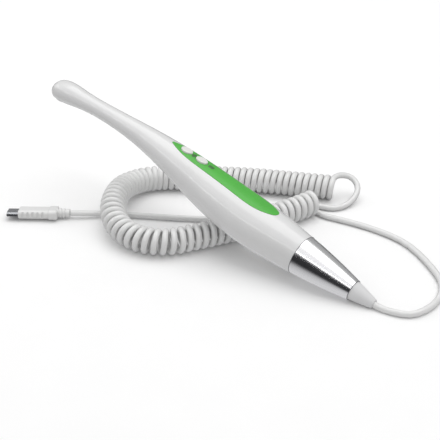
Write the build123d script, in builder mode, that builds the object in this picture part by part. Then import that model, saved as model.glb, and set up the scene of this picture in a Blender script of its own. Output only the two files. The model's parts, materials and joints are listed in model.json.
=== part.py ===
from build123d import *
import os
from math import cos, pi, radians, sin, tan

# An intraoral camera lying on its own curly cord, in millimetres.
# The handpiece is drawn in its own frame: its seam with the tail cone is at X = 0, the head is
# at -X, the cable leaves at +X, and the buttons are on top, at +Z. A station is a distance from
# that seam towards the head. The rest pose then lays the handpiece down as it lies.

# The outer form of the handpiece
seam_radius = 11.0
belly_station = 38.0
belly_half_width = 15.0
belly_half_height = 13.1
neck_station = 154.0
neck_half_width = 5.4
neck_half_height = 5.0
head_station = 181.0
head_half_width = 7.4
head_half_height = 6.4
head_round_length = 7.2
shoulder_power = 1.1
arch_start = 32.0
arch_station = 118.0
arch_height = 6.2
head_droop = 4.65
droop_power = 1.8

# The two shells
wall = 1.8
rim_length = 2.0
rim_bore = 7.55
parting_drop = 0.5

# The green key panel
panel_front_station = 97.0
panel_back_station = 21.0
panel_wide_station = 48.0
panel_half_width = 6.25
panel_depth = 1.0
panel_proud = 0.12
panel_clearance = 0.12

# The two buttons
front_button_station = 86.4
rear_button_station = 75.4
button_half_length = 3.8
button_half_width = 2.7
button_top = 15.1
button_edge_radius = 0.55
button_clearance = 0.2
guide_bottom = 10.7
guide_wall = 1.0
flange_width = 0.8
flange_top = 10.65
flange_thickness = 1.0
stem_radius = 1.2
stem_bottom = 8.7

# The key board under the buttons
key_board_top = 6.0
key_board_thickness = 1.0
key_board_length = 37.0
key_board_width = 8.4
key_post_radius = 1.7
key_post_inset = 3.0
switch_size = 3.6
switch_height = 1.6
plunger_radius = 0.9
plunger_height = 0.5

# Small screws
screw_radius = 0.8
screw_head_radius = 1.5
screw_head_height = 0.9
screw_length = 4.0
screw_clearance = 0.05

# The main board and what is on it
main_board_back = 10.0
main_board_front = 60.0
main_board_width = 18.0
main_board_thickness = 1.2
main_board_top = -3.0
board_post_radius = 2.2
board_post_inset_length = 5.5
board_post_inset_width = 2.8
processor_size = 9.0
processor_height = 1.1
processor_station = 38.0
ribbon_socket_length = 3.0
ribbon_socket_width = 7.0
ribbon_socket_height = 1.6
header_back = 13.0
header_length = 5.6
header_width = 8.6
header_height = 5.0
header_wall = 0.9
plug_in_length = 4.7
grip_block_length = 2.7

# The tail: collar, chrome cone and strain relief
cone_length = 33.7
cone_end_radius = 5.65
cone_mid_radius = 8.75
cone_wall = 1.2
cone_lip = 2.0
collar_bore = 6.1
collar_neck_radius = 7.5
collar_flange_radius = 9.0
collar_flange_thickness = 1.8
collar_thread_radius = 8.2
collar_thread_length = 7.0
thread_clearance = 0.05
relief_length = 12.9
relief_start_radius = 5.3
relief_mid_radius = 4.1
relief_end_radius = 2.55
relief_neck_radius = 4.1
relief_flange_radius = 4.5
relief_flange_thickness = 2.4

# The head: its optics look down through a window in a bezel
lens_station = 179.5
bezel_bottom = -3.2
bezel_top = -1.1
bezel_radius = 5.8
bezel_edge_radius = 0.7
spigot_radius = 5.0
spigot_bore = 4.2
spigot_top = 0.5
window_radius = 4.8
window_thickness = 0.8
window_recess = 0.15
holder_radius = 3.9
holder_flange_radius = 4.9
holder_flange_thickness = 0.8
holder_top = 4.1
lamp_board_radius = 4.1
lamp_board_thickness = 0.8
lamp_circle_radius = 3.0
lamp_count = 6
lamp_length = 1.3
lamp_width = 0.9
lamp_height = 0.5
barrel_radius = 1.85
barrel_bottom = -1.5
barrel_top = 1.5
barrel_bore = 1.4
lens_thickness = 0.8
lens_recess = 0.2
sensor_size = 4.0
sensor_thickness = 0.8
sensor_board_size = 6.0
sensor_board_thickness = 0.7
head_clearance = 0.06

# The ribbon from the head to the main board
ribbon_width = 4.4
ribbon_thickness = 0.25

# The cord
cord_radius = 1.75
curl_radius = 7.6
arc_share = 0.45

# The plug, drawn with the cord's end at its own X = 0 and its metal shell at +X
plug_relief_length = 7.0
plug_relief_start_radius = 2.4
plug_relief_end_radius = 3.1
plug_rib_count = 3
plug_rib_groove = 1.0
plug_rib_depth = 0.5
plug_collar_length = 5.3
plug_collar_width = 10.8
plug_collar_height = 5.9
plug_grip_length = 17.5
plug_grip_width = 9.9
plug_grip_height = 5.2
plug_corner_radius = 2.2
grip_groove_count = 5
grip_groove_length = 1.3
grip_groove_pitch = 2.9
grip_groove_depth = 0.7
shell_length = 6.65
shell_width = 8.34
shell_height = 2.56
shell_wall = 0.3
tongue_width = 6.7
tongue_height = 0.7
tongue_length = 4.8

# How the handpiece lies: its tail on the table, its belly on the curly cord
seam_x = 68.18
seam_y = 0.0
seam_z = 14.19
pitch = 14.5
roll = -8.0

# How the plug lies
plug_x = -73.2
plug_y = -32.9
plug_z = 3.4
plug_turn = 217.6
plug_roll = 8.0

# The cord's route, chosen by hand; the first point is where it leaves the strain relief
handpiece_lead_points = [
    (113.32, 0.0, 2.52),
    (116.2, 0.0, 1.77),
    (122.5, 0.6, 1.76),
    (133.5, 4.5, 1.76),
    (137.5, 21.0, 1.76),
    (132.5, 39.0, 1.76),
    (117.0, 51.8, 1.76),
    (95.0, 64.8, 1.76),
    (72.0, 65.8, 1.76),
    (53.0, 62.8, 1.76),
    (43.0, 60.2, 1.8),
    (36.5, 61.2, 1.9),
]
curly_cord_points = [
    (34.0, 62.0, 7.65),
    (31.5, 50.0, 7.65),
    (27.5, 37.0, 7.65),
    (22.0, 20.0, 7.65),
    (14.5, 4.0, 7.65),
    (5.5, -13.0, 7.65),
    (-3.0, -28.5, 7.65),
    (-18.0, -35.5, 7.9),
    (-35.5, -33.0, 9.5),
    (-48.5, -22.5, 12.0),
    (-58.0, -8.5, 12.0),
    (-64.5, 7.0, 9.0),
    (-61.5, 23.0, 7.65),
    (-49.0, 34.5, 7.65),
    (-31.0, 47.5, 7.65),
    (-12.0, 60.5, 7.65),
    (9.0, 71.5, 7.65),
    (33.0, 83.8, 7.65),
]
plug_lead_points = [
    (30.0, 83.5, 13.0),
    (32.0, 90.5, 13.2),
    (37.0, 97.0, 11.5),
    (44.5, 95.0, 7.5),
    (47.0, 86.0, 3.5),
    (45.5, 76.5, 1.76),
    (41.0, 70.0, 1.76),
    (32.0, 68.0, 1.76),
    (22.0, 60.5, 1.76),
    (10.0, 42.0, 1.76),
    (-0.5, 20.0, 1.76),
    (-19.0, 6.5, 1.76),
    (-40.0, -6.2, 1.76),
    (-57.0, -17.2, 1.9),
    (-66.0, -27.3, 3.35),
    (-73.17, -32.88, 3.4),
]

os.makedirs("parts", exist_ok=True)


def ease(share):
    """A smooth step from 0 to 1."""
    return (1 - cos(pi * min(max(share, 0), 1))) / 2


def half_size(station, seam, belly, neck, head):
    """Half the handpiece's width or height at a station, from its sizes at four places."""
    if station <= belly_station:
        return seam + (belly - seam) * sin(pi / 2 * station / belly_station)
    if station <= neck_station:
        share = (neck_station - station) / (neck_station - belly_station)
        return neck + (belly - neck) * ease(share) ** shoulder_power
    share = (station - neck_station) / (head_station - neck_station)
    return neck + (head - neck) * ease(share)


def half_width(station):
    return half_size(station, seam_radius, belly_half_width, neck_half_width, head_half_width)


def half_height(station):
    return half_size(station, seam_radius, belly_half_height, neck_half_height, head_half_height)


def centre_height(station):
    """The height of the middle line, which arches over the neck and droops at the head."""
    rise = arch_height * ease((station - arch_start) / (arch_station - arch_start))
    beyond = max(station - arch_station, 0) / (head_station - arch_station)
    return rise - head_droop * beyond**droop_power


def handle_form(inset, start=0.0):
    """The handpiece's outer form, drawn inwards by the inset, from a station to the tip."""
    steps = 12
    stations = [start + (neck_station - start) * step / steps for step in range(steps + 1)]
    stations += [(neck_station + head_station) / 2, head_station]
    with BuildPart() as form:
        for station in stations:
            with BuildSketch(Plane.YZ.offset(-station)):
                with Locations((0, centre_height(station))):
                    Ellipse(half_width(station) - inset, half_height(station) - inset)
        for angle in (25, 45, 62, 75, 84):
            station = head_station + (head_round_length - inset) * sin(radians(angle))
            narrowing = cos(radians(angle))
            with BuildSketch(Plane.YZ.offset(-station)):
                with Locations((0, centre_height(station))):
                    Ellipse(
                        (head_half_width - inset) * narrowing,
                        (head_half_height - inset) * narrowing,
                    )
        loft()
    return form.part


def below_parting():
    """All that lies under the surface where the two shells meet."""
    stations = (0, 20, 45, 70, 95, 120, 145, head_station)
    points = [(-station, centre_height(station) - parting_drop) for station in stations]
    back = belly_station
    front = -head_station - 2 * head_round_length
    depth = -3 * belly_half_height
    with BuildPart() as region:
        with BuildSketch(Plane.XZ):
            with BuildLine():
                Spline(*points)
                Polyline(
                    points[-1],
                    (front, points[-1][1]),
                    (front, depth),
                    (back, depth),
                    (back, points[0][1]),
                    points[0],
                )
            make_face()
        extrude(amount=2 * belly_half_width, both=True)
    return region.part


def panel_prism(margin):
    """An upright bar with the outline of the green panel, wider by the margin."""
    front = -panel_front_station - margin
    back = -panel_back_station + margin
    side = [
        (front + 0.3, 0.75 + margin),
        (-front_button_station, 4.2 + margin),
        (-rear_button_station, 5.3 + margin),
        (-panel_wide_station, panel_half_width + margin),
        (-panel_back_station - 6.0, 5.0 + margin),
        (back - 1.5, 2.9 + margin),
    ]
    with BuildPart() as prism:
        with BuildSketch(Plane.XY.offset(key_board_top)):
            with BuildLine():
                Spline(*side)
                Spline(*[(x, -y) for x, y in side])
                ThreePointArc(side[0], (front, 0), (side[0][0], -side[0][1]))
                ThreePointArc(side[-1], (back, 0), (side[-1][0], -side[-1][1]))
            make_face()
        extrude(amount=3 * belly_half_height)
    return prism.part


def button_bars(margin, bottom, height):
    """Two upright oval bars where the buttons are, wider by the margin."""
    with BuildPart() as bars:
        with BuildSketch(Plane.XY.offset(bottom)):
            with Locations((-front_button_station, 0), (-rear_button_station, 0)):
                Ellipse(button_half_length + margin, button_half_width + margin)
        extrude(amount=height)
    return bars.part


def key_post_places():
    middle = (front_button_station + rear_button_station) / 2
    reach = key_board_length / 2 - key_post_inset
    return [(-middle - reach, 0), (-middle + reach, 0)]


def board_post_places():
    side = main_board_width / 2 - board_post_inset_width
    back = -main_board_back - board_post_inset_length
    front = -main_board_front + board_post_inset_length
    return [(back, -side), (back, side), (front, -side), (front, side)]


def upright(places, radius, bottom, top):
    """Upright pins of one radius at several places."""
    with BuildPart() as pins:
        with Locations(*[(x, y, bottom) for x, y in places]):
            Cylinder(radius, top - bottom, align=(Align.CENTER, Align.CENTER, Align.MIN))
    return pins.part


def upper_shell(form, room, panel_bed):
    """The top half: a bed for the panel, guides for the buttons, posts for the key board."""
    guides = button_bars(button_clearance + guide_wall, guide_bottom, 2 * belly_half_height)
    posts = upright(key_post_places(), key_post_radius, key_board_top, 2 * belly_half_height)
    screw_top = key_board_top - key_board_thickness + screw_length + screw_clearance
    hole_radius = screw_radius + screw_clearance
    with BuildPart() as cavity:
        add(room)
        add(guides, mode=Mode.SUBTRACT)
        add(posts, mode=Mode.SUBTRACT)
    with BuildPart() as shell:
        add(form)
        add(panel_bed, mode=Mode.SUBTRACT)
        add(cavity.part, mode=Mode.SUBTRACT)
        add(below_parting(), mode=Mode.SUBTRACT)
        add(button_bars(button_clearance, 0, 3 * belly_half_height), mode=Mode.SUBTRACT)
        add(upright(key_post_places(), hole_radius, 0, screw_top), mode=Mode.SUBTRACT)
        with Locations(Location((-rim_length / 2, 0, 0), (0, 90, 0))):
            Cylinder(rim_bore, 2 * rim_length, mode=Mode.SUBTRACT)
    return shell.part


def lower_shell(form, room):
    """The bottom half: posts for the main board and a round seat for the optics."""
    board_bottom = main_board_top - main_board_thickness
    posts = upright(board_post_places(), board_post_radius, -2 * belly_half_height, board_bottom)
    screw_bottom = main_board_top - screw_length - screw_clearance
    hole_radius = screw_radius + screw_clearance
    seat_radius = spigot_radius + head_clearance
    with BuildPart() as cavity:
        add(room)
        add(posts, mode=Mode.SUBTRACT)
    with BuildPart() as shell:
        add(form)
        add(below_parting(), mode=Mode.INTERSECT)
        add(cavity.part, mode=Mode.SUBTRACT)
        add(
            upright(board_post_places(), hole_radius, screw_bottom, board_bottom),
            mode=Mode.SUBTRACT,
        )
        with Locations((-lens_station, 0, bezel_top)):
            Cylinder(
                bezel_radius + head_clearance,
                belly_half_height,
                align=(Align.CENTER, Align.CENTER, Align.MAX),
                mode=Mode.SUBTRACT,
            )
            Cylinder(
                seat_radius,
                spigot_top + holder_flange_thickness + head_clearance - bezel_top,
                align=(Align.CENTER, Align.CENTER, Align.MIN),
                mode=Mode.SUBTRACT,
            )
        with Locations(Location((-rim_length / 2, 0, 0), (0, 90, 0))):
            Cylinder(rim_bore, 2 * rim_length, mode=Mode.SUBTRACT)
    return shell.part


def keypad_panel(raised_form, bed_form):
    """The green panel: a leaf that follows the shell's curve, with two oval holes."""
    with BuildPart() as panel:
        add(panel_prism(0))
        add(raised_form, mode=Mode.INTERSECT)
        add(bed_form, mode=Mode.SUBTRACT)
        add(button_bars(button_clearance, 0, 3 * belly_half_height), mode=Mode.SUBTRACT)
    return panel.part


def button(station):
    """An oval cap with a flange under its guide and a stem over its switch."""
    with BuildPart() as key:
        with BuildSketch(Plane.XY.offset(flange_top)):
            with Locations((-station, 0)):
                Ellipse(button_half_length, button_half_width)
        extrude(amount=button_top - flange_top)
        fillet(key.edges().group_by(Axis.Z)[-1], radius=button_edge_radius)
        with BuildSketch(Plane.XY.offset(flange_top)):
            with Locations((-station, 0)):
                Ellipse(button_half_length + flange_width, button_half_width + flange_width)
        extrude(amount=-flange_thickness)
        with Locations((-station, 0, stem_bottom)):
            Cylinder(
                stem_radius,
                flange_top - flange_thickness - stem_bottom,
                align=(Align.CENTER, Align.CENTER, Align.MIN),
            )
    return key.part


def plate(length, width, thickness, x, bottom, corner=0.5):
    """A flat board or chip with rounded corners, centred on the middle line."""
    with BuildPart() as board:
        with BuildSketch(Plane.XY.offset(bottom)):
            with Locations((x, 0)):
                RectangleRounded(length, width, corner)
        extrude(amount=thickness)
    return board.part


def key_board():
    middle = (front_button_station + rear_button_station) / 2
    bottom = key_board_top - key_board_thickness
    hole_radius = screw_radius + screw_clearance
    with BuildPart() as board:
        add(plate(key_board_length, key_board_width, key_board_thickness, -middle, bottom, 1.5))
        holes = upright(key_post_places(), hole_radius, bottom - 1, key_board_top + 1)
        add(holes, mode=Mode.SUBTRACT)
    return board.part


def key_switch(station):
    """A push switch: a square body with a round plunger."""
    with BuildPart() as switch:
        add(plate(switch_size, switch_size, switch_height, -station, key_board_top, 0.3))
        with Locations((-station, 0, key_board_top + switch_height)):
            Cylinder(
                plunger_radius,
                plunger_height,
                align=(Align.CENTER, Align.CENTER, Align.MIN),
            )
    return switch.part


def screws(places, seat, points_up):
    """Flat-headed screws with their heads on a seat height, one at each place."""
    turn = 0 if points_up else 180
    with BuildPart() as one:
        with Locations((0, 0, -screw_head_height)):
            Cylinder(
                screw_head_radius,
                screw_head_height,
                align=(Align.CENTER, Align.CENTER, Align.MIN),
            )
        chamfer(one.edges().group_by(Axis.Z)[0], length=0.25)
        Cylinder(screw_radius, screw_length, align=(Align.CENTER, Align.CENTER, Align.MIN))
        with Locations((0, 0, -screw_head_height)):
            Box(0.4, 2, 0.8, mode=Mode.SUBTRACT)
    with BuildPart() as group:
        with Locations(*[Location((x, y, seat), (turn, 0, 0)) for x, y in places]):
            add(one.part)
    return group.part


def main_board():
    middle = -(main_board_back + main_board_front) / 2
    length = main_board_front - main_board_back
    bottom = main_board_top - main_board_thickness
    hole_radius = screw_radius + screw_clearance
    with BuildPart() as board:
        add(plate(length, main_board_width, main_board_thickness, middle, bottom, 2.0))
        holes = upright(board_post_places(), hole_radius, bottom - 1, main_board_top + 1)
        add(holes, mode=Mode.SUBTRACT)
    return board.part


def cable_header():
    """The socket on the main board, open towards the tail."""
    base = (Align.MAX, Align.CENTER, Align.MIN)
    with BuildPart() as header:
        with Locations((-header_back, 0, main_board_top)):
            Box(header_length, header_width, header_height, align=base)
        with Locations((-header_back, 0, main_board_top + header_wall)):
            Box(
                header_length - header_wall,
                header_width - 2 * header_wall,
                header_height - 2 * header_wall,
                align=base,
                mode=Mode.SUBTRACT,
            )
    return header.part


def cable_connector():
    """The cable's own plug: a nose in the socket and a block behind it."""
    nose_bottom = main_board_top + header_wall
    nose_height = header_height - 2 * header_wall - 0.1
    with BuildPart() as connector:
        with Locations((-header_back, 0, nose_bottom)):
            Box(
                plug_in_length,
                header_width - 2 * header_wall - 0.1,
                nose_height,
                align=(Align.MAX, Align.CENTER, Align.MIN),
            )
            Box(
                grip_block_length,
                header_width,
                header_height - header_wall,
                align=(Align.MIN, Align.CENTER, Align.MIN),
            )
    return connector.part


def ribbon_socket():
    x = -main_board_front + ribbon_socket_length
    return plate(
        ribbon_socket_length, ribbon_socket_width, ribbon_socket_height, x, main_board_top, 0.3
    )


def flex_ribbon():
    """The flat flex along the middle line, from the sensor board down to the main board."""
    socket_face = -main_board_front + ribbon_socket_length / 2
    socket_middle = main_board_top + ribbon_socket_height / 2
    board_face = holder_top + sensor_board_thickness + ribbon_thickness / 2
    with BuildPart() as ribbon:
        with BuildSketch(Plane.XZ):
            with BuildLine():
                Spline(
                    (-lens_station, board_face),
                    (-lens_station + sensor_board_size / 2, board_face),
                    (-155, 4.4),
                    (-135, 4.6),
                    (-115, 3.6),
                    (-96, 2.6),
                    (-78, 1.8),
                    (-68, -0.6),
                    (socket_face - 2, socket_middle),
                    (socket_face, socket_middle),
                    tangents=((1, 0), (1, 0)),
                )
            trace(line_width=ribbon_thickness)
        extrude(amount=ribbon_width / 2, both=True)
    return ribbon.part


def tail_cone():
    """The chrome cone, screwed on the collar, with a lip that holds the strain relief."""
    slope = (seam_radius - cone_end_radius) / cone_length
    lip_radius = cone_end_radius + slope * cone_lip - cone_wall
    bore = collar_thread_radius + thread_clearance
    mouth = relief_neck_radius + thread_clearance
    with BuildPart() as cone:
        with BuildSketch(Plane.XZ):
            with BuildLine():
                ThreePointArc(
                    (0, seam_radius),
                    (cone_length / 2, cone_mid_radius),
                    (cone_length, cone_end_radius),
                )
                Polyline(
                    (cone_length, cone_end_radius),
                    (cone_length, mouth),
                    (cone_length - cone_lip, mouth),
                    (cone_length - cone_lip, lip_radius),
                    (collar_thread_length + 1.5, bore),
                    (0, bore),
                    (0, seam_radius),
                )
            make_face()
        revolve(axis=Axis.X)
    return cone.part


def cone_collar():
    """The threaded ring that the shells hold by its flange."""
    with BuildPart() as collar:
        with BuildSketch(Plane.XZ):
            with BuildLine():
                Polyline(
                    (-rim_length - collar_flange_thickness, collar_bore),
                    (-rim_length - collar_flange_thickness, collar_flange_radius),
                    (-rim_length, collar_flange_radius),
                    (-rim_length, collar_neck_radius),
                    (0, collar_neck_radius),
                    (0, collar_thread_radius),
                    (collar_thread_length, collar_thread_radius),
                    (collar_thread_length, collar_bore),
                    close=True,
                )
            make_face()
        revolve(axis=Axis.X)
        chamfer(collar.edges().filter_by(GeomType.CIRCLE).group_by(Axis.X)[-1][0:1], length=0.4)
    return collar.part


def strain_relief():
    """The soft cone on the cable, held in the chrome cone's mouth by its flange."""
    end = cone_length + relief_length
    inner = cone_length - cone_lip
    with BuildPart() as relief:
        with BuildSketch(Plane.XZ):
            with BuildLine():
                ThreePointArc(
                    (cone_length, relief_start_radius),
                    (cone_length + relief_length / 2, relief_mid_radius),
                    (end, relief_end_radius),
                )
                Polyline(
                    (end, relief_end_radius),
                    (end, cord_radius),
                    (inner - relief_flange_thickness, cord_radius),
                    (inner - relief_flange_thickness, relief_flange_radius),
                    (inner, relief_flange_radius),
                    (inner, relief_neck_radius),
                    (cone_length, relief_neck_radius),
                    (cone_length, relief_start_radius),
                )
            make_face()
        revolve(axis=Axis.X)
    return relief.part


def inner_cable():
    """The cable inside the handpiece, from its connector to the end of the strain relief."""
    start = -header_back + grip_block_length
    end = cone_length + relief_length
    with BuildPart() as cable:
        with Locations(Location((start, 0, 0), (0, 90, 0))):
            Cylinder(cord_radius, end - start, align=(Align.CENTER, Align.CENTER, Align.MIN))
    return cable.part


def ring(x, outer, inner, bottom, top):
    """A plain upright ring."""
    with BuildPart() as hoop:
        with Locations((x, 0, bottom)):
            Cylinder(outer, top - bottom, align=(Align.CENTER, Align.CENTER, Align.MIN))
            if inner > 0:
                Cylinder(
                    inner,
                    top - bottom,
                    align=(Align.CENTER, Align.CENTER, Align.MIN),
                    mode=Mode.SUBTRACT,
                )
    return hoop.part


def window_bezel():
    """The ring round the window, with a spigot up into the lower shell."""
    ledge = bezel_bottom + window_recess + window_thickness
    with BuildPart() as bezel:
        with Locations((-lens_station, 0, bezel_bottom)):
            Cylinder(
                bezel_radius,
                bezel_top - bezel_bottom,
                align=(Align.CENTER, Align.CENTER, Align.MIN),
            )
        fillet(bezel.edges().group_by(Axis.Z)[0], radius=bezel_edge_radius)
        add(ring(-lens_station, spigot_radius, 0, bezel_top, spigot_top))
        seat_radius = window_radius + head_clearance
        add(ring(-lens_station, spigot_bore, 0, ledge, spigot_top), mode=Mode.SUBTRACT)
        add(ring(-lens_station, seat_radius, 0, bezel_bottom - 1, ledge), mode=Mode.SUBTRACT)
    return bezel.part


def head_window():
    bottom = bezel_bottom + window_recess
    return ring(-lens_station, window_radius, 0, bottom, bottom + window_thickness)


def lamp_board():
    hole = barrel_radius + head_clearance
    bottom = spigot_top - lamp_board_thickness
    return ring(-lens_station, lamp_board_radius, hole, bottom, spigot_top)


def lamps():
    """The small lamps in a circle under the lamp board."""
    bottom = spigot_top - lamp_board_thickness - lamp_height
    with BuildPart() as group:
        with Locations((-lens_station, 0, bottom)):
            with PolarLocations(lamp_circle_radius, lamp_count):
                Box(
                    lamp_width,
                    lamp_length,
                    lamp_height,
                    align=(Align.CENTER, Align.CENTER, Align.MIN),
                )
    return group.part


def lens_holder():
    """The block that carries the lens barrel below and the sensor board on top."""
    with BuildPart() as holder:
        flange_top_height = spigot_top + holder_flange_thickness
        add(ring(-lens_station, holder_flange_radius, 0, spigot_top, flange_top_height))
        add(ring(-lens_station, holder_radius, 0, flange_top_height, holder_top))
        bore = barrel_radius + head_clearance
        add(ring(-lens_station, bore, 0, spigot_top, barrel_top), mode=Mode.SUBTRACT)
        add(ring(-lens_station, barrel_bore, 0, barrel_top, holder_top), mode=Mode.SUBTRACT)
        with Locations((-lens_station, 0, holder_top)):
            Box(
                sensor_size + head_clearance,
                sensor_size + head_clearance,
                2 * sensor_thickness,
                mode=Mode.SUBTRACT,
            )
    return holder.part


def lens_barrel():
    return ring(-lens_station, barrel_radius, barrel_bore, barrel_bottom, barrel_top)


def lens_element():
    """The front lens, a little back from the barrel's end."""
    bottom = barrel_bottom + lens_recess
    return ring(-lens_station, barrel_bore, 0, bottom, bottom + lens_thickness)


def image_sensor():
    bottom = holder_top - sensor_thickness
    return plate(sensor_size, sensor_size, sensor_thickness, -lens_station, bottom, 0.2)


def sensor_board():
    return plate(
        sensor_board_size,
        sensor_board_size,
        sensor_board_thickness,
        -lens_station,
        holder_top,
        0.4,
    )


def arc_radii(points):
    """The arc at each corner of a route, as large as its two runs allow."""
    radii = []
    for before, corner, after in zip(points, points[1:], points[2:]):
        arriving = Vector(*corner) - Vector(*before)
        leaving = Vector(*after) - Vector(*corner)
        half_turn = radians(arriving.get_angle(leaving) / 2)
        shorter_run = min(arriving.length, leaving.length)
        radii.append(arc_share * shorter_run / tan(half_turn))
    return radii


def cord_tube(points, radius):
    """A tube along straight runs joined by tangent arcs."""
    radii = arc_radii(points)
    print("radii:", [round(value, 1) for value in radii])
    with BuildPart() as tube:
        with BuildLine():
            route = FilletPolyline(*points, radius=radii)
        with BuildSketch(Plane(origin=route @ 0, z_dir=route % 0)):
            Circle(radius)
        sweep()
    print("length:", round(route.length, 1), "volume share:", round(
        tube.part.volume / (pi * radius**2 * route.length), 4
    ))
    return tube.part


def plug_block(width, height, start, length, edge):
    """A straight rounded block of the plug's overmould."""
    with BuildPart() as block:
        with BuildSketch(Plane.YZ.offset(start)):
            RectangleRounded(width, height, plug_corner_radius)
        extrude(amount=length)
        ends = block.edges().group_by(Axis.X)
        fillet(ends[0] + ends[-1], radius=edge)
    return block.part


def plug_body():
    """The overmould: a ribbed relief, a collar and a grip with grooves on both sides."""
    grip_start = plug_relief_length + plug_collar_length
    first_groove = grip_start + (
        plug_grip_length - (grip_groove_count - 1) * grip_groove_pitch
    ) / 2
    rib_pitch = plug_relief_length / (plug_rib_count + 0.5)
    with BuildPart() as body:
        with BuildSketch(Plane.XZ):
            with BuildLine():
                Polyline(
                    (0, 0),
                    (0, plug_relief_start_radius),
                    (plug_relief_length, plug_relief_end_radius),
                    (plug_relief_length + 1, plug_relief_end_radius),
                    (plug_relief_length + 1, 0),
                    close=True,
                )
            make_face()
        revolve(axis=Axis.X)
        for rib in range(plug_rib_count):
            x = rib_pitch * (rib + 0.9)
            rise = (plug_relief_end_radius - plug_relief_start_radius) * x / plug_relief_length
            floor_radius = plug_relief_start_radius + rise - plug_rib_depth
            with BuildSketch(Plane.YZ.offset(x)):
                Circle(2 * plug_relief_end_radius)
                Circle(floor_radius, mode=Mode.SUBTRACT)
            extrude(amount=plug_rib_groove, mode=Mode.SUBTRACT)
        add(
            plug_block(
                plug_collar_width, plug_collar_height, plug_relief_length, plug_collar_length, 0.9
            )
        )
        add(
            plug_block(
                plug_grip_width, plug_grip_height, grip_start - 1, plug_grip_length + 1, 0.6
            )
        )
        for groove in range(grip_groove_count):
            x = first_groove + groove * grip_groove_pitch
            with Locations((x, plug_grip_width / 2, 0), (x, -plug_grip_width / 2, 0)):
                Box(
                    grip_groove_length,
                    2 * grip_groove_depth,
                    plug_grip_height,
                    mode=Mode.SUBTRACT,
                )
    return body.part


def plug_shell():
    """The metal shell, open at its end."""
    start = plug_relief_length + plug_collar_length + plug_grip_length
    with BuildPart() as shell:
        with BuildSketch(Plane.YZ.offset(start)):
            SlotOverall(shell_width, shell_height)
        extrude(amount=shell_length)
        with BuildSketch(Plane.YZ.offset(start + 0.5)):
            SlotOverall(shell_width - 2 * shell_wall, shell_height - 2 * shell_wall)
        extrude(amount=shell_length, mode=Mode.SUBTRACT)
    return shell.part


def plug_insert():
    """The tongue with the contacts, standing in the shell."""
    start = plug_relief_length + plug_collar_length + plug_grip_length + 0.5
    with BuildPart() as insert:
        with Locations((start, 0, 0)):
            Box(
                tongue_length,
                tongue_width,
                tongue_height,
                align=(Align.MIN, Align.CENTER, Align.CENTER),
            )
    return insert.part


def save(name, shape):
    shape.label = name
    export_step(shape, f"parts/{name}.step")


outer_form = handle_form(0)
inner_room = handle_form(wall, rim_length)
bed_form = handle_form(panel_depth)
raised_form = handle_form(-panel_proud)
with BuildPart() as bed:
    add(panel_prism(panel_clearance))
    add(bed_form, mode=Mode.SUBTRACT)

handpiece = {
    "upper_shell": upper_shell(outer_form, inner_room, bed.part),
    "lower_shell": lower_shell(outer_form, inner_room),
    "keypad_panel": keypad_panel(raised_form, bed_form),
    "front_button": button(front_button_station),
    "rear_button": button(rear_button_station),
    "keypad_board": key_board(),
    "front_switch": key_switch(front_button_station),
    "rear_switch": key_switch(rear_button_station),
    "keypad_screws": screws(key_post_places(), key_board_top - key_board_thickness, True),
    "main_board": main_board(),
    "image_processor": plate(
        processor_size,
        processor_size,
        processor_height,
        -processor_station,
        main_board_top,
        0.3,
    ),
    "board_screws": screws(board_post_places(), main_board_top, False),
    "ribbon_socket": ribbon_socket(),
    "flex_ribbon": flex_ribbon(),
    "sensor_board": sensor_board(),
    "image_sensor": image_sensor(),
    "lens_holder": lens_holder(),
    "lens_barrel": lens_barrel(),
    "lens_element": lens_element(),
    "lamp_board": lamp_board(),
    "lamps": lamps(),
    "head_window": head_window(),
    "window_bezel": window_bezel(),
    "tail_cone": tail_cone(),
    "cone_collar": cone_collar(),
    "strain_relief": strain_relief(),
    "inner_cable": inner_cable(),
    "cable_header": cable_header(),
    "cable_connector": cable_connector(),
}
handpiece_pose = Pos(seam_x, seam_y, seam_z) * Rot(0, pitch, 0) * Rot(roll, 0, 0)
for name, shape in handpiece.items():
    save(name, handpiece_pose * shape)

save("handpiece_lead", cord_tube(handpiece_lead_points, cord_radius))
save("curly_cord", cord_tube(curly_cord_points, curl_radius))
save("plug_lead", cord_tube(plug_lead_points, cord_radius))

plug_pose = Pos(plug_x, plug_y, plug_z) * Rot(0, 0, plug_turn) * Rot(plug_roll, 0, 0)
save("plug_body", plug_pose * plug_body())
save("plug_shell", plug_pose * plug_shell())
save("plug_insert", plug_pose * plug_insert())
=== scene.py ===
import json
from bisect import bisect_left
from math import cos, pi, radians, sin

import bpy
from mathutils import Matrix, Vector
from mathutils.bvhtree import BVHTree

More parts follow.
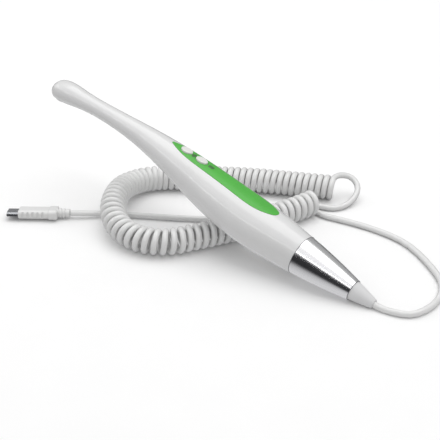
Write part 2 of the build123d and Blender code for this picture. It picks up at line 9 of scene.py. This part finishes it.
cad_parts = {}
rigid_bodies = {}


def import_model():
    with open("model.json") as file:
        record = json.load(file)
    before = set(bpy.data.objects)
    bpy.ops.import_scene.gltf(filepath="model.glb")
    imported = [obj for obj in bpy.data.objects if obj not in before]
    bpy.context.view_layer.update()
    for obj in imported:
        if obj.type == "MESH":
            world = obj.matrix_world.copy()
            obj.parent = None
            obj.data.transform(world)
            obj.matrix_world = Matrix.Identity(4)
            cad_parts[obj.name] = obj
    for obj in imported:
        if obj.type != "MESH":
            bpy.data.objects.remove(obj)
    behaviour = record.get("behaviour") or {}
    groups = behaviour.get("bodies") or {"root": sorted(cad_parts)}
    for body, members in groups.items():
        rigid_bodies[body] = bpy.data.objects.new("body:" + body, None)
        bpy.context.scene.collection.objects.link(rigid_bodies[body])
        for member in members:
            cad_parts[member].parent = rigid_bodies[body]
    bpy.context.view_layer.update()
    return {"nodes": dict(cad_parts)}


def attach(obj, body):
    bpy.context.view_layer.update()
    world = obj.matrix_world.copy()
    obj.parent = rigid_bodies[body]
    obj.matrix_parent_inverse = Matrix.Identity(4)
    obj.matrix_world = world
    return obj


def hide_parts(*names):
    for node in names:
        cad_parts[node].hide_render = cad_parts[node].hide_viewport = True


# The looks of an intraoral camera lying on its own curly cord. Lengths are in metres, in the
# frame of the CAD: X runs from the camera head to the cable end, Y away from the viewer.

# The camera that took the picture
CAMERA_PLACE = (0.31515, -0.37304, 0.29249)
CAMERA_LOOK = (-0.5450, 0.6730, -0.5000)
CAMERA_LENS = 81.82
CAMERA_SENSOR = 36.0
CAMERA_CLIP = (0.02, 20.0)

# The cord, and how finely its curve is drawn along and around
CORD_DIAMETER = 0.0035
CORD_EXIT = (0.1133, 0.0, 0.00252)
CURVE_ORDER = 3
CORD_STEPS = 3
CORD_ROUNDNESS = 3

# The curly part's turns round their own middle line. The pitch closes up between two shares
# of the way. Angles are in degrees from the top of a turn.
CURL_RADIUS = 0.00585
CURL_POINTS_PER_TURN = 16
CURL_FRONT_PITCH = 0.0045
CURL_REAR_PITCH = 0.0039
CURL_PITCH_CHANGE = (0.45, 0.62)
CURL_START_ANGLE = 200.0
CURL_END_ANGLE = -12.0
CURL_STEPS = 4000
MIDDLE_LINE_STEPS = 24
MIDDLE_LINE_NEIGHBOURS = 2

# The handpiece's own frame, as in the CAD: its seam with the tail cone is at its origin.
# Angles are in degrees.
SEAM_PLACE = (0.06818, 0.0, 0.01419)
PITCH = 14.5
ROLL = -8.0

# The same routes as the CAD's
HANDPIECE_LEAD = [
    CORD_EXIT,
    (0.1162, 0.0, 0.00177),
    (0.1225, 0.0006, 0.00176),
    (0.1335, 0.0045, 0.00176),
    (0.1375, 0.0210, 0.00176),
    (0.1325, 0.0390, 0.00176),
    (0.1170, 0.0518, 0.00176),
    (0.0950, 0.0648, 0.00176),
    (0.0720, 0.0658, 0.00176),
    (0.0530, 0.0628, 0.00176),
    (0.0430, 0.0602, 0.00180),
]
CURLY_CORD = [
    (0.0340, 0.0620, 0.00765),
    (0.0315, 0.0500, 0.00765),
    (0.0275, 0.0370, 0.00765),
    (0.0220, 0.0200, 0.00765),
    (0.0145, 0.0040, 0.00765),
    (0.0055, -0.0130, 0.00765),
    (-0.0030, -0.0285, 0.00765),
    (-0.0180, -0.0355, 0.00790),
    (-0.0355, -0.0330, 0.00950),
    (-0.0485, -0.0225, 0.01200),
    (-0.0580, -0.0085, 0.01200),
    (-0.0645, 0.0070, 0.00900),
    (-0.0615, 0.0230, 0.00765),
    (-0.0490, 0.0345, 0.00765),
    (-0.0310, 0.0475, 0.00765),
    (-0.0120, 0.0605, 0.00765),
    (0.0090, 0.0715, 0.00765),
    (0.0330, 0.0838, 0.00765),
]
PLUG_LEAD = [
    (0.0320, 0.0905, 0.01320),
    (0.0370, 0.0970, 0.01150),
    (0.0445, 0.0950, 0.00750),
    (0.0470, 0.0860, 0.00350),
    (0.0455, 0.0765, 0.00176),
    (0.0410, 0.0700, 0.00176),
    (0.0320, 0.0680, 0.00176),
    (0.0220, 0.0605, 0.00176),
    (0.0100, 0.0420, 0.00176),
    (-0.0005, 0.0200, 0.00176),
    (-0.0190, 0.0065, 0.00176),
    (-0.0400, -0.0062, 0.00176),
    (-0.0570, -0.0172, 0.00190),
    (-0.0660, -0.0273, 0.00335),
    (-0.07317, -0.03288, 0.00340),
]

# The small dark marks behind the buttons: station from the seam towards the head, length, and
# how far the waist is drawn in. Their middle stands above the panel and their edge sinks into
# it. The rays that find the panel start above the handpiece.
MARKS = ((0.0809, 0.0029, 0.0), (0.0684, 0.0042, 0.35))
MARK_WIDTH = 0.0044
MARK_HEIGHT = 0.00012
MARK_SINK = 0.000036
MARK_FLATNESS = 4
MARK_RINGS = 5
MARK_CORNERS = 32
MARK_RAY_START = 0.03

# The dark lines where the tail cone meets its neighbours
SEAM_RADIUS = 0.01098
CONE_LENGTH = 0.0337
CONE_END_RADIUS = 0.00560
SEAM_LINE_RADIUS = 0.00016
SEAM_LINE_STEPS = 96
SEAM_LINE_SIDES = 8

# How far roughness strays in each kind of material, how rough a coat is, and between which
# two values of a cloud a plastic changes from its darker tint to its own colour
PLASTIC_SPREAD = 0.08
METAL_SPREAD = 0.06
CLEAR_SPREAD = 0.05
COAT_ROUGHNESS = 0.04
TINT_CHANGE = (0.35, 0.65)

# The light. Straight sideways, reflections see this share of the back sky. It grows towards
# the back and shrinks towards the front with this slope.
SKY_STRENGTH = 0.66
STRIP_STRENGTH = 3.5
SIDE_SHARE = 0.5
SIDE_SLOPE = 4.0
FLOOR_BOUNCE = 0.70
FLOOR_HALF_SIZE = 3.0

# Colour ramps, as places and colours. The sky's go by height: 0 is level, 1 is straight up.
# The mirrored floor's goes by the distance from the line under the handpiece.
BLACK = (0.0, 0.0, 0.0)
WHITE = (1.0, 1.0, 1.0)
FRONT_SKY = [
    (0.0, (0.02, 0.02, 0.022)),
    (0.48, (0.03, 0.03, 0.033)),
    (0.70, (0.90, 0.90, 0.91)),
    (1.0, (0.95, 0.95, 0.95)),
]
STRIP = [(0.605, BLACK), (0.620, WHITE), (0.650, WHITE), (0.665, BLACK)]
BACK_SKY = [
    (0.0, (0.36, 0.36, 0.36)),
    (0.60, (0.40, 0.40, 0.40)),
    (0.86, (0.95, 0.95, 0.95)),
    (1.0, WHITE),
]
MIRRORED_FLOOR = [
    (0.012, (0.66, 0.66, 0.67)),
    (0.028, (0.48, 0.48, 0.49)),
    (0.050, (0.16, 0.16, 0.165)),
    (0.090, (0.02, 0.02, 0.022)),
]
FLOOR_SPECKS = [(0.3, (0.99, 0.99, 0.99)), (0.7, WHITE)]

# The CAD's nodes, by the material that they wear
WEARERS = {
    "white_shell": ("upper_shell", "lower_shell", "window_bezel"),
    "key_green": ("keypad_panel",),
    "button_white": ("front_button", "rear_button"),
    "soft_grey": ("strain_relief",),
    "circuit_board": ("keypad_board", "main_board", "sensor_board", "lamp_board"),
    "chip": ("front_switch", "rear_switch", "image_processor", "image_sensor", "plug_insert"),
    "cream_plastic": ("ribbon_socket", "cable_header", "cable_connector"),
    "ribbon_flex": ("flex_ribbon",),
    "lamp": ("lamps",),
    "cord_jacket": ("inner_cable", "plug_body"),
    "chrome": ("tail_cone",),
    "steel": ("cone_collar", "keypad_screws", "board_screws", "plug_shell"),
    "black_metal": ("lens_holder", "lens_barrel"),
    "clear": ("lens_element", "head_window"),
}


def clear_scene():
    for thing in list(bpy.data.objects):
        bpy.data.objects.remove(thing)


def collection():
    return bpy.context.scene.collection


def add_camera():
    data = bpy.data.cameras.new("camera")
    data.lens = CAMERA_LENS
    data.sensor_width = CAMERA_SENSOR
    data.clip_start, data.clip_end = CAMERA_CLIP
    camera = bpy.data.objects.new("camera", data)
    camera.location = CAMERA_PLACE
    camera.rotation_euler = Vector(CAMERA_LOOK).to_track_quat("-Z", "Y").to_euler()
    collection().objects.link(camera)
    bpy.context.scene.camera = camera


# Shader helpers


class Shader:
    """A node tree under construction: makes nodes and links, laid out in order of making."""

    COLUMN_WIDTH = 220
    ROW_HEIGHT = 40
    ROWS = 3

    def __init__(self, tree):
        self.tree = tree
        tree.nodes.clear()
        self.count = 0

    def node(self, kind, **settings):
        made = self.tree.nodes.new(kind)
        row = self.count % self.ROWS
        made.location = (self.COLUMN_WIDTH * self.count, -self.ROW_HEIGHT * row)
        self.count += 1
        for name, value in settings.items():
            setattr(made, name, value)
        return made

    def link(self, source, target):
        self.tree.links.new(source, target)

    def axes(self, vector):
        """A vector's X, Y and Z."""
        made = self.node("ShaderNodeSeparateXYZ")
        self.link(vector, made.inputs[0])
        return made.outputs

    def math(self, operation, *values, clamp=False):
        """One step of arithmetic, on numbers or outputs of other nodes."""
        made = self.node("ShaderNodeMath", operation=operation, use_clamp=clamp)
        for socket, value in zip(made.inputs, values):
            if isinstance(value, (int, float)):
                socket.default_value = value
            else:
                self.link(value, socket)
        return made.outputs[0]

    def around(self, middle, spread, cloud):
        """A value that strays evenly round its middle, as the cloud says."""
        return self.math("MULTIPLY_ADD", cloud, spread, middle - spread / 2)

    def ramp(self, source, stops):
        """A grey or colour ramp, from pairs of place and colour."""
        made = self.node("ShaderNodeValToRGB")
        elements = made.color_ramp.elements
        while len(elements) < len(stops):
            elements.new(0.5)
        for element, (place, colour) in zip(elements, stops):
            element.position = place
            element.color = (*colour, 1.0)
        self.link(source, made.inputs["Fac"])
        return made.outputs["Color"]

    def mix(self, share, first, second):
        """From a first to a second colour: each is a grey or an output of another node."""
        made = self.node("ShaderNodeMix", data_type="RGBA")
        self.link(share, made.inputs["Factor"])
        for name, value in (("A", first), ("B", second)):
            if isinstance(value, float):
                made.inputs[name].default_value = (value, value, value, 1.0)
            else:
                self.link(value, made.inputs[name])
        return made.outputs["Result"]

    def choose(self, share, first, second):
        """From a first to a second shader."""
        made = self.node("ShaderNodeMixShader")
        self.link(share, made.inputs["Fac"])
        self.link(first, made.inputs[1])
        self.link(second, made.inputs[2])
        return made.outputs[0]

    def noise(self, scale, detail=2.0):
        place = self.node("ShaderNodeTexCoord").outputs["Object"]
        made = self.node("ShaderNodeTexNoise")
        made.inputs["Scale"].default_value = scale
        made.inputs["Detail"].default_value = detail
        self.link(place, made.inputs["Vector"])
        return made.outputs["Fac"]

    def bump(self, height, distance):
        made = self.node("ShaderNodeBump")
        made.inputs["Distance"].default_value = distance
        self.link(height, made.inputs["Height"])
        return made.outputs["Normal"]

    def finish(self, surface, kind="ShaderNodeOutputMaterial"):
        output = self.node(kind)
        self.link(surface, output.inputs["Surface"])


def new_material(name):
    material = bpy.data.materials.new(name)
    material.use_nodes = True
    return material, Shader(material.node_tree)


def plastic(name, colour, roughness, grain, tint, coat=0.0):
    """Moulded plastic: a grain of a scale and a depth, a slight change of tint and roughness."""
    material, shader = new_material(name)
    principled = shader.node("ShaderNodeBsdfPrincipled")
    cloud = shader.noise(scale=60.0, detail=3.0)
    darker = tuple(channel * (1.0 - tint) for channel in colour)
    tinted = shader.ramp(cloud, list(zip(TINT_CHANGE, (darker, colour))))
    shader.link(tinted, principled.inputs["Base Color"])
    uneven = shader.around(roughness, PLASTIC_SPREAD, cloud)
    shader.link(uneven, principled.inputs["Roughness"])
    grain_scale, grain_depth = grain
    grains = shader.bump(shader.noise(grain_scale), grain_depth)
    shader.link(grains, principled.inputs["Normal"])
    principled.inputs["Coat Weight"].default_value = coat
    principled.inputs["Coat Roughness"].default_value = COAT_ROUGHNESS
    shader.finish(principled.outputs[0])
    return material


def metal(name, colour, roughness, scratch_depth=0.0):
    """Metal with faint smudges and, where they have a depth, fine scratches."""
    material, shader = new_material(name)
    principled = shader.node("ShaderNodeBsdfPrincipled")
    principled.inputs["Metallic"].default_value = 1.0
    principled.inputs["Base Color"].default_value = (*colour, 1.0)
    smudge = shader.noise(scale=90.0, detail=4.0)
    uneven = shader.around(roughness, METAL_SPREAD, smudge)
    shader.link(uneven, principled.inputs["Roughness"])
    if scratch_depth:
        scratches = shader.bump(shader.noise(scale=2500.0, detail=3.0), scratch_depth)
        shader.link(scratches, principled.inputs["Normal"])
    shader.finish(principled.outputs[0])
    return material


# Materials. A grain has a scale per metre and a depth in metres.


def white_shell():
    return plastic(
        "white_shell",
        (0.78, 0.78, 0.78),
        roughness=0.42,
        grain=(5000.0, 2e-6),
        tint=0.02,
        coat=1.0,
    )


def key_green():
    return plastic(
        "key_green",
        (0.072, 0.47, 0.045),
        roughness=0.45,
        grain=(5000.0, 3e-6),
        tint=0.06,
        coat=0.12,
    )


def button_white():
    return plastic(
        "button_white", (0.82, 0.82, 0.80), roughness=0.3, grain=(5000.0, 3e-6), tint=0.03
    )


def soft_grey():
    return plastic(
        "soft_grey", (0.76, 0.76, 0.765), roughness=0.55, grain=(2500.0, 1e-5), tint=0.05
    )


def mark_green():
    return plastic(
        "mark_green", (0.05, 0.17, 0.04), roughness=0.4, grain=(5000.0, 3e-6), tint=0.10
    )


def seam_shadow():
    return plastic(
        "seam_shadow", (0.12, 0.12, 0.13), roughness=0.6, grain=(5000.0, 3e-6), tint=0.10
    )


def circuit_board():
    return plastic(
        "circuit_board", (0.02, 0.20, 0.07), roughness=0.35, grain=(1500.0, 2e-5), tint=0.3
    )


def chip():
    return plastic("chip", (0.03, 0.03, 0.032), roughness=0.5, grain=(6000.0, 1e-5), tint=0.2)


def cream_plastic():
    return plastic(
        "cream_plastic", (0.80, 0.76, 0.64), roughness=0.45, grain=(3000.0, 6e-6), tint=0.06
    )


def ribbon_flex():
    return plastic(
        "ribbon_flex", (0.60, 0.28, 0.05), roughness=0.35, grain=(1500.0, 6e-6), tint=0.15
    )


def lamp():
    return plastic("lamp", (0.95, 0.85, 0.45), roughness=0.2, grain=(3000.0, 2e-6), tint=0.1)


def cord_jacket():
    return plastic(
        "cord_jacket",
        (0.84, 0.84, 0.835),
        roughness=0.30,
        grain=(3000.0, 3e-6),
        tint=0.03,
        coat=0.5,
    )


def chrome():
    return metal("chrome", (0.90, 0.90, 0.91), roughness=0.20)


def steel():
    return metal("steel", (0.46, 0.47, 0.49), roughness=0.28, scratch_depth=4e-6)


def black_metal():
    return metal("black_metal", (0.05, 0.05, 0.055), roughness=0.4, scratch_depth=4e-6)


def clear():
    """Clear plastic or glass with a slight smear."""
    material, shader = new_material("clear")
    principled = shader.node("ShaderNodeBsdfPrincipled")
    principled.inputs["Base Color"].default_value = (0.95, 0.98, 0.99, 1.0)
    principled.inputs["Transmission Weight"].default_value = 0.9
    principled.inputs["IOR"].default_value = 1.5
    smear = shader.noise(scale=200.0)
    uneven = shader.around(0.045, CLEAR_SPREAD, smear)
    shader.link(uneven, principled.inputs["Roughness"])
    shader.finish(principled.outputs[0])
    return material


def make_materials():
    return {
        "white_shell": white_shell(),
        "key_green": key_green(),
        "button_white": button_white(),
        "soft_grey": soft_grey(),
        "mark_green": mark_green(),
        "seam_shadow": seam_shadow(),
        "circuit_board": circuit_board(),
        "chip": chip(),
        "cream_plastic": cream_plastic(),
        "ribbon_flex": ribbon_flex(),
        "lamp": lamp(),
        "cord_jacket": cord_jacket(),
        "chrome": chrome(),
        "steel": steel(),
        "black_metal": black_metal(),
        "clear": clear(),
    }


def dress(frame, materials):
    """Gives each CAD node its material."""
    for material_name, wearers in WEARERS.items():
        for wearer in wearers:
            mesh = frame["nodes"][wearer].data
            mesh.materials.clear()
            mesh.materials.append(materials[material_name])


# The floor and the light


def floor_material():
    """White to the camera and duller to other light. Reflections see it grey near the
    handpiece and dark further off, as in a light tent."""
    material, shader = new_material("floor")
    path = shader.node("ShaderNodeLightPath").outputs
    seen = shader.node("ShaderNodeBsdfDiffuse")
    specks = shader.noise(scale=30.0)
    shader.link(shader.ramp(specks, FLOOR_SPECKS), seen.inputs["Color"])
    bounce = shader.node("ShaderNodeBsdfDiffuse")
    bounce.inputs["Color"].default_value = (FLOOR_BOUNCE, FLOOR_BOUNCE, FLOOR_BOUNCE, 1.0)
    place = shader.axes(shader.node("ShaderNodeNewGeometry").outputs["Position"])
    distance = shader.math("ABSOLUTE", place["Y"])
    mirrored = shader.node("ShaderNodeEmission")
    shader.link(shader.ramp(distance, MIRRORED_FLOOR), mirrored.inputs["Color"])
    unseen = shader.choose(path["Is Glossy Ray"], bounce.outputs[0], mirrored.outputs[0])
    shader.finish(shader.choose(path["Is Camera Ray"], unseen, seen.outputs[0]))
    return material


def add_floor():
    size = FLOOR_HALF_SIZE
    corners = [(-size, -size, 0), (size, -size, 0), (size, size, 0), (-size, size, 0)]
    mesh = bpy.data.meshes.new("floor")
    mesh.from_pydata(corners, [], [(0, 1, 2, 3)])
    mesh.materials.append(floor_material())
    floor = bpy.data.objects.new("floor", mesh)
    collection().objects.link(floor)


def add_sky():
    """White to the camera and an even grey to other light. Reflections see it dark low in
    front with a bright strip higher up, and grey low behind."""
    world = bpy.data.worlds.new("sky")
    world.use_nodes = True
    bpy.context.scene.world = world
    shader = Shader(world.node_tree)
    path = shader.node("ShaderNodeLightPath").outputs
    direction = shader.axes(shader.node("ShaderNodeTexCoord").outputs["Generated"])
    height = direction["Z"]
    strip = shader.ramp(height, STRIP)
    front = shader.mix(strip, shader.ramp(height, FRONT_SKY), STRIP_STRENGTH)
    back = shader.ramp(height, BACK_SKY)
    side = shader.math("MULTIPLY_ADD", direction["Y"], SIDE_SLOPE, SIDE_SHARE, clamp=True)
    mirrored = shader.mix(side, front, back)
    unseen = shader.mix(path["Is Glossy Ray"], SKY_STRENGTH, mirrored)
    seen = shader.mix(path["Is Camera Ray"], unseen, 1.0)
    background = shader.node("ShaderNodeBackground")
    shader.link(seen, background.inputs["Color"])
    shader.finish(background.outputs[0], "ShaderNodeOutputWorld")


def add_area(name, place, target, size, power):
    data = bpy.data.lights.new(name, "AREA")
    data.shape = "RECTANGLE"
    data.size, data.size_y = size
    data.energy = power
    light = bpy.data.objects.new(name, data)
    light.location = place
    aim = Vector(target) - Vector(place)
    light.rotation_euler = aim.to_track_quat("-Z", "Y").to_euler()
    collection().objects.link(light)


def add_lights():
    add_area(
        "top_light",
        place=(0.0, 0.25, 1.1),
        target=(0.0, 0.0, 0.0),
        size=(1.3, 1.0),
        power=5.7,
    )
    add_area(
        "left_light",
        place=(-0.9, -0.2, 0.55),
        target=(0.0, 0.0, 0.02),
        size=(0.5, 0.5),
        power=0.9,
    )


# Marks and seam lines on the handpiece


def handpiece_pose():
    """The handpiece's own frame in the frame of the whole, as in the CAD."""
    pitch = Matrix.Rotation(radians(PITCH), 4, "Y")
    roll = Matrix.Rotation(radians(ROLL), 4, "X")
    return Matrix.Translation(SEAM_PLACE) @ pitch @ roll


def add_mesh(name, vertices, faces, material):
    """A smooth mesh piece that rides on the handpiece."""
    mesh = bpy.data.meshes.new(name)
    mesh.from_pydata(vertices, [], faces)
    for polygon in mesh.polygons:
        polygon.use_smooth = True
    mesh.materials.append(material)
    piece = bpy.data.objects.new(name, mesh)
    collection().objects.link(piece)
    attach(piece, "handpiece")


def faces_between(rings, corners, closed):
    """Faces between rings of as many corners; where closed, the last ring meets the first."""
    faces = []
    for ring in range(rings if closed else rings - 1):
        here = ring * corners
        there = (ring + 1) % rings * corners
        for corner in range(corners):
            after = (corner + 1) % corners
            faces.append((here + corner, there + corner, there + after, here + after))
    return faces


def surface_of(node):
    """A node's surface, for rays to meet."""
    return BVHTree.FromPolygons(
        [node.matrix_world @ vertex.co for vertex in node.data.vertices],
        [tuple(polygon.vertices) for polygon in node.data.polygons],
    )


def add_mark(name, station, length, pinch, material, surface):
    """A small raised oval that follows the surface, in rings from its middle outwards."""
    pose = handpiece_pose()
    down = pose.to_3x3() @ Vector((0, 0, -1))
    vertices = []
    for ring in range(MARK_RINGS + 1):
        share = ring / MARK_RINGS
        fall = share**MARK_FLATNESS
        for corner in range(MARK_CORNERS):
            angle = 2.0 * pi * corner / MARK_CORNERS
            waist = 1.0 - pinch * sin(angle) ** 2
            x = -station + length / 2 * share * cos(angle)
            y = MARK_WIDTH / 2 * share * sin(angle) * waist
            start = pose @ Vector((x, y, MARK_RAY_START))
            hit, normal, _, _ = surface.ray_cast(start, down)
            vertices.append(hit + normal * (MARK_HEIGHT * (1.0 - fall) - MARK_SINK * fall))
    faces = faces_between(MARK_RINGS + 1, MARK_CORNERS, closed=False)
    add_mesh(name, vertices, faces, material)


def add_marks(frame, material):
    surface = surface_of(frame["nodes"]["keypad_panel"])
    for number, (station, length, pinch) in enumerate(MARKS, start=1):
        add_mark(f"panel_mark_{number}", station, length, pinch, material, surface)


def add_seam_line(name, distance, radius, material):
    """A thin ring round the handpiece's axis, at a distance from the seam towards the tail."""
    pose = handpiece_pose()
    vertices = []
    for step in range(SEAM_LINE_STEPS):
        angle = 2.0 * pi * step / SEAM_LINE_STEPS
        for side in range(SEAM_LINE_SIDES):
            turn = 2.0 * pi * side / SEAM_LINE_SIDES
            x = distance + SEAM_LINE_RADIUS * sin(turn)
            reach = radius + SEAM_LINE_RADIUS * cos(turn)
            vertices.append(pose @ Vector((x, reach * cos(angle), reach * sin(angle))))
    faces = faces_between(SEAM_LINE_STEPS, SEAM_LINE_SIDES, closed=True)
    add_mesh(name, vertices, faces, material)


def add_seam_lines(material):
    add_seam_line("shell_seam_line", 0.0, SEAM_RADIUS, material)
    add_seam_line("relief_seam_line", CONE_LENGTH, CONE_END_RADIUS, material)


# The cord


def nurbs_curve(name, points, steps):
    """A curve object with one open NURBS spline, drawn in a number of steps per point."""
    data = bpy.data.curves.new(name, "CURVE")
    data.dimensions = "3D"
    spline = data.splines.new("NURBS")
    spline.points.add(len(points) - 1)
    for point, place in zip(spline.points, points):
        point.co = (*place, 1.0)
    spline.order_u = CURVE_ORDER
    spline.use_endpoint_u = True
    spline.resolution_u = steps
    return bpy.data.objects.new(name, data)


def route_of(points):
    """The smooth line of a route: its points, closely spaced."""
    curve = nurbs_curve("route", points, MIDDLE_LINE_STEPS)
    collection().objects.link(curve)
    mesh = bpy.data.meshes.new_from_object(curve)
    line = [vertex.co.copy() for vertex in mesh.vertices]
    bpy.data.objects.remove(curve)
    bpy.data.meshes.remove(mesh)
    return line


def lengths_along(line):
    """The way along a line from its start to each of its points."""
    lengths = [0.0]
    for before, after in zip(line, line[1:]):
        lengths.append(lengths[-1] + (after - before).length)
    return lengths


def direction_at(line, segment):
    """A line's direction at a segment, evened out over its neighbours."""
    before = line[max(segment - MIDDLE_LINE_NEIGHBOURS, 0)]
    after = line[min(segment + 1 + MIDDLE_LINE_NEIGHBOURS, len(line) - 1)]
    return (after - before).normalized()


def pitch_at(share):
    """The curly cord's pitch, which closes up smoothly from its front to its rear half."""
    start, end = CURL_PITCH_CHANGE
    blend = min(max((share - start) / (end - start), 0.0), 1.0)
    blend = blend * blend * (3.0 - 2.0 * blend)
    return CURL_FRONT_PITCH + (CURL_REAR_PITCH - CURL_FRONT_PITCH) * blend


def turns_along(total):
    """The turns made after each of many even steps, scaled so that the last ends at its angle."""
    turns = [0.0]
    for step in range(CURL_STEPS):
        share = (step + 0.5) / CURL_STEPS
        turns.append(turns[-1] + total / CURL_STEPS / pitch_at(share))
    part = (CURL_START_ANGLE - CURL_END_ANGLE) / 360.0
    scale = (round(turns[-1] - part) + part) / turns[-1]
    return [turn * scale for turn in turns]


def find_between(values, value):
    """Which gap between rising values a value falls into, and at what share of the gap."""
    gap = min(max(bisect_left(values, value) - 1, 0), len(values) - 2)
    return gap, (value - values[gap]) / (values[gap + 1] - values[gap])


def place_round(centre, direction, angle, radius):
    """A place round a line, at an angle from its top."""
    up = Vector((0, 0, 1))
    up = (up - direction * up.dot(direction)).normalized()
    left = direction.cross(up)
    return centre + (up * cos(angle) + left * sin(angle)) * radius


def helix_points(line):
    """Left-handed turns round a line, evenly spaced in angle."""
    lengths = lengths_along(line)
    turns = turns_along(lengths[-1])
    count = round(turns[-1] * CURL_POINTS_PER_TURN)
    # The spline runs a little inside its control points, so these stand a little further out.
    radius = CURL_RADIUS / (0.5 + 0.5 * cos(pi / CURL_POINTS_PER_TURN))
    points = []
    for number in range(count + 1):
        turn = number * turns[-1] / count
        step, share = find_between(turns, turn)
        distance = (step + share) * lengths[-1] / CURL_STEPS
        segment, share = find_between(lengths, distance)
        centre = line[segment].lerp(line[segment + 1], share)
        angle = radians(CURL_START_ANGLE) - 2.0 * pi * turn
        points.append(place_round(centre, direction_at(line, segment), angle, radius))
    return points


def add_cord(material):
    route = HANDPIECE_LEAD + helix_points(route_of(CURLY_CORD)) + PLUG_LEAD
    cord = nurbs_curve("cord", route, CORD_STEPS)
    cord.data.bevel_depth = CORD_DIAMETER / 2
    cord.data.bevel_resolution = CORD_ROUNDNESS
    cord.data.use_fill_caps = True
    cord.data.materials.append(material)
    collection().objects.link(cord)
    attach(cord, "handpiece")
    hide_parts("handpiece_lead", "curly_cord", "plug_lead")


def main():
    clear_scene()
    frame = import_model()

    add_camera()
    materials = make_materials()
    add_cord(materials["cord_jacket"])
    dress(frame, materials)
    add_marks(frame, materials["mark_green"])
    add_seam_lines(materials["seam_shadow"])
    add_floor()
    add_sky()
    add_lights()
    bpy.context.scene.view_settings.view_transform = "Standard"


main()
